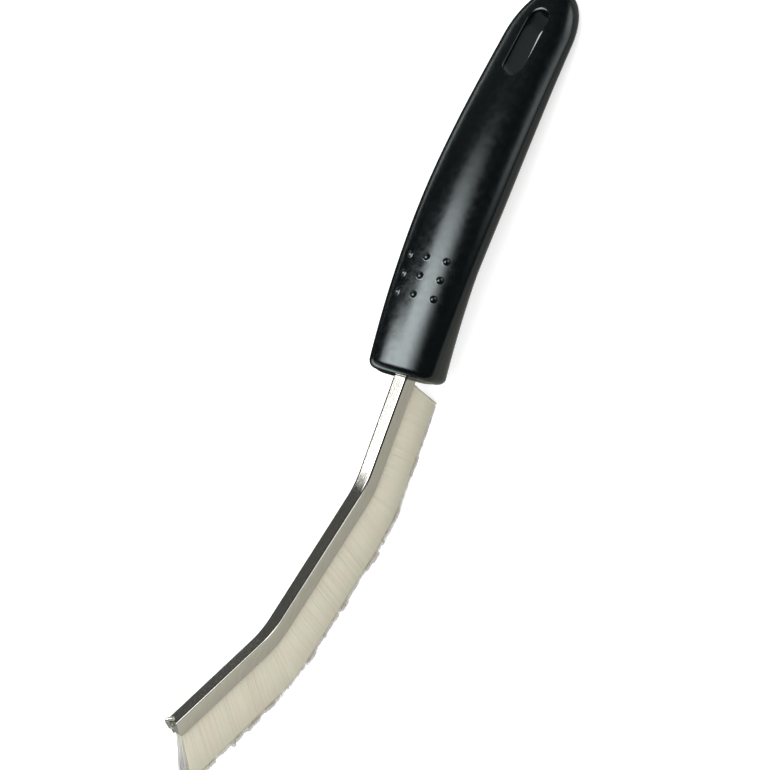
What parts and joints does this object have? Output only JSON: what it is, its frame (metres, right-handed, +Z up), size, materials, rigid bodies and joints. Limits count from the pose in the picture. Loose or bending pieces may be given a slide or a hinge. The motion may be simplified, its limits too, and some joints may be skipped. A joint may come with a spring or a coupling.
{
  "type": "fish cleaning brush",
  "caption": "Strip brush in a steel channel bent upwards twice, with a bowed moulded handle that has grip nubs and a hang slot.",
  "frame": {"origin": "bottom centre of the bounding box; the brush stands on the heel of its bristles and on the hang end of its handle", "axes": "+X from the bristle tip towards the hang end of the handle, +Z up out of the handle's back with the bristles pointing down, +Y across the handle"},
  "size_m": [0.2874, 0.0312, 0.0798],
  "materials": {
    "handle_plastic": "moulded black, satin gloss",
    "channel_steel": "bright rolled strip, light handling marks",
    "wire_steel": "bright drawn wire",
    "bristle_nylon": "translucent natural filament, trimmed ends"
  },
  "bodies": {
    "root": {"handle": "handle_plastic", "channel": "channel_steel", "core_wire": "wire_steel", "bristles_heel": "bristle_nylon", "bristles_middle": "bristle_nylon", "bristles_tip": "bristle_nylon"}
  },
  "joints": []
}
